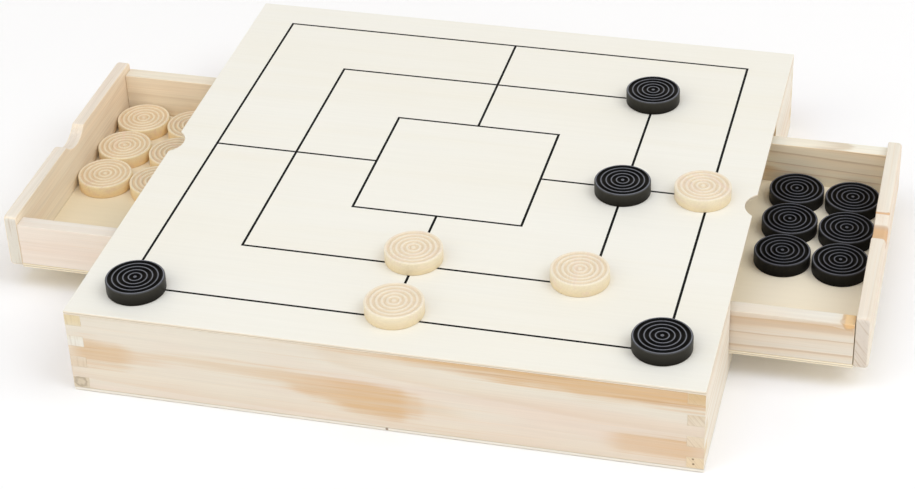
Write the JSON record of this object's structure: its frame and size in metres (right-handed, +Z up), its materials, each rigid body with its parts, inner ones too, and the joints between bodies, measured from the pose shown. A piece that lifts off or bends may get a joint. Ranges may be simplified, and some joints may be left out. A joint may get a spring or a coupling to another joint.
{
  "type": "nine mens morris box",
  "caption": "Flat square wooden game box with the mill board on its lid, a drawer of round playing pieces in each side, and more pieces standing on the board.",
  "frame": {"origin": "centre of the case's underside, the face it stands on", "axes": "+X from drawer to drawer, towards the drawer of black pieces; +Y to the rear; +Z up out of the board"},
  "size_m": [0.427, 0.3, 0.053],
  "materials": {
    "board_ply": "pale sanded plywood, thinly lacquered",
    "grid_ink": "matt black printing ink",
    "case_pine": "planed pine, thinly lacquered",
    "drawer_pine": "planed pine, thinly lacquered",
    "sheet_ply": "bare plywood sheet",
    "black_piece_wood": "turned beech, stained black, satin",
    "light_piece_wood": "turned beech, clear satin lacquer"
  },
  "bodies": {
    "case": {"board_lid": "board_ply", "board_grid": "grid_ink", "front_wall": "case_pine", "rear_wall": "case_pine", "left_wall": "case_pine", "right_wall": "case_pine", "case_base": "sheet_ply", "divider": "case_pine", "left_near_bearer": "case_pine", "left_near_guide": "case_pine", "left_far_bearer": "case_pine", "left_far_guide": "case_pine", "right_near_bearer": "case_pine", "right_near_guide": "case_pine", "right_far_bearer": "case_pine", "right_far_guide": "case_pine"},
    "left_drawer": {"left_drawer_face": "drawer_pine", "left_drawer_near_side": "drawer_pine", "left_drawer_far_side": "drawer_pine", "left_drawer_back": "drawer_pine", "left_drawer_base": "sheet_ply"},
    "right_drawer": {"right_drawer_face": "drawer_pine", "right_drawer_near_side": "drawer_pine", "right_drawer_far_side": "drawer_pine", "right_drawer_back": "drawer_pine", "right_drawer_base": "sheet_ply"},
    "black_piece_1": {"black_piece_1": "black_piece_wood"},
    "black_piece_2": {"black_piece_2": "black_piece_wood"},
    "black_piece_3": {"black_piece_3": "black_piece_wood"},
    "black_piece_4": {"black_piece_4": "black_piece_wood"},
    "black_piece_5": {"black_piece_5": "black_piece_wood"},
    "black_piece_6": {"black_piece_6": "black_piece_wood"},
    "black_piece_7": {"black_piece_7": "black_piece_wood"},
    "black_piece_8": {"black_piece_8": "black_piece_wood"},
    "black_piece_9": {"black_piece_9": "black_piece_wood"},
    "black_piece_10": {"black_piece_10": "black_piece_wood"},
    "light_piece_1": {"light_piece_1": "light_piece_wood"},
    "light_piece_2": {"light_piece_2": "light_piece_wood"},
    "light_piece_3": {"light_piece_3": "light_piece_wood"},
    "light_piece_4": {"light_piece_4": "light_piece_wood"},
    "light_piece_5": {"light_piece_5": "light_piece_wood"},
    "light_piece_6": {"light_piece_6": "light_piece_wood"},
    "light_piece_7": {"light_piece_7": "light_piece_wood"},
    "light_piece_8": {"light_piece_8": "light_piece_wood"},
    "light_piece_9": {"light_piece_9": "light_piece_wood"},
    "light_piece_10": {"light_piece_10": "light_piece_wood"}
  },
  "joints": [
    {"name": "left_drawer_slide", "type": "slide", "parent": "case", "child": "left_drawer", "axis": [-1, 0, 0], "range_m": [-0.062, 0.055]},
    {"name": "right_drawer_slide", "type": "slide", "parent": "case", "child": "right_drawer", "axis": [1, 0, 0], "range_m": [-0.065, 0.055]},
    {"name": "black_piece_1_lift", "type": "slide", "parent": "case", "child": "black_piece_1", "axis": [0, 0, 1], "range_m": [0, 0.03]},
    {"name": "black_piece_2_lift", "type": "slide", "parent": "case", "child": "black_piece_2", "axis": [0, 0, 1], "range_m": [0, 0.03]},
    {"name": "black_piece_3_lift", "type": "slide", "parent": "case", "child": "black_piece_3", "axis": [0, 0, 1], "range_m": [0, 0.03]},
    {"name": "black_piece_4_lift", "type": "slide", "parent": "case", "child": "black_piece_4", "axis": [0, 0, 1], "range_m": [0, 0.03]},
    {"name": "black_piece_5_lift", "type": "slide", "parent": "right_drawer", "child": "black_piece_5", "axis": [0, 0, 1], "range_m": [0, 0.03]},
    {"name": "black_piece_6_lift", "type": "slide", "parent": "right_drawer", "child": "black_piece_6", "axis": [0, 0, 1], "range_m": [0, 0.03]},
    {"name": "black_piece_7_lift", "type": "slide", "parent": "right_drawer", "child": "black_piece_7", "axis": [0, 0, 1], "range_m": [0, 0.03]},
    {"name": "black_piece_8_lift", "type": "slide", "parent": "right_drawer", "child": "black_piece_8", "axis": [0, 0, 1], "range_m": [0, 0.03]},
    {"name": "black_piece_9_lift", "type": "slide", "parent": "right_drawer", "child": "black_piece_9", "axis": [0, 0, 1], "range_m": [0, 0.03]},
    {"name": "black_piece_10_lift", "type": "slide", "parent": "right_drawer", "child": "black_piece_10", "axis": [0, 0, 1], "range_m": [0, 0.03]},
    {"name": "light_piece_1_lift", "type": "slide", "parent": "case", "child": "light_piece_1", "axis": [0, 0, 1], "range_m": [0, 0.03]},
    {"name": "light_piece_2_lift", "type": "slide", "parent": "case", "child": "light_piece_2", "axis": [0, 0, 1], "range_m": [0, 0.03]},
    {"name": "light_piece_3_lift", "type": "slide", "parent": "case", "child": "light_piece_3", "axis": [0, 0, 1], "range_m": [0, 0.03]},
    {"name": "light_piece_4_lift", "type": "slide", "parent": "case", "child": "light_piece_4", "axis": [0, 0, 1], "range_m": [0, 0.03]},
    {"name": "light_piece_5_lift", "type": "slide", "parent": "left_drawer", "child": "light_piece_5", "axis": [0, 0, 1], "range_m": [0, 0.03]},
    {"name": "light_piece_6_lift", "type": "slide", "parent": "left_drawer", "child": "light_piece_6", "axis": [0, 0, 1], "range_m": [0, 0.03]},
    {"name": "light_piece_7_lift", "type": "slide", "parent": "left_drawer", "child": "light_piece_7", "axis": [0, 0, 1], "range_m": [0, 0.03]},
    {"name": "light_piece_8_lift", "type": "slide", "parent": "left_drawer", "child": "light_piece_8", "axis": [0, 0, 1], "range_m": [0, 0.02]},
    {"name": "light_piece_9_lift", "type": "slide", "parent": "left_drawer", "child": "light_piece_9", "axis": [0, 0, 1], "range_m": [0, 0.02]},
    {"name": "light_piece_10_lift", "type": "slide", "parent": "left_drawer", "child": "light_piece_10", "axis": [0, 0, 1], "range_m": [0, 0.02]}
  ]
}
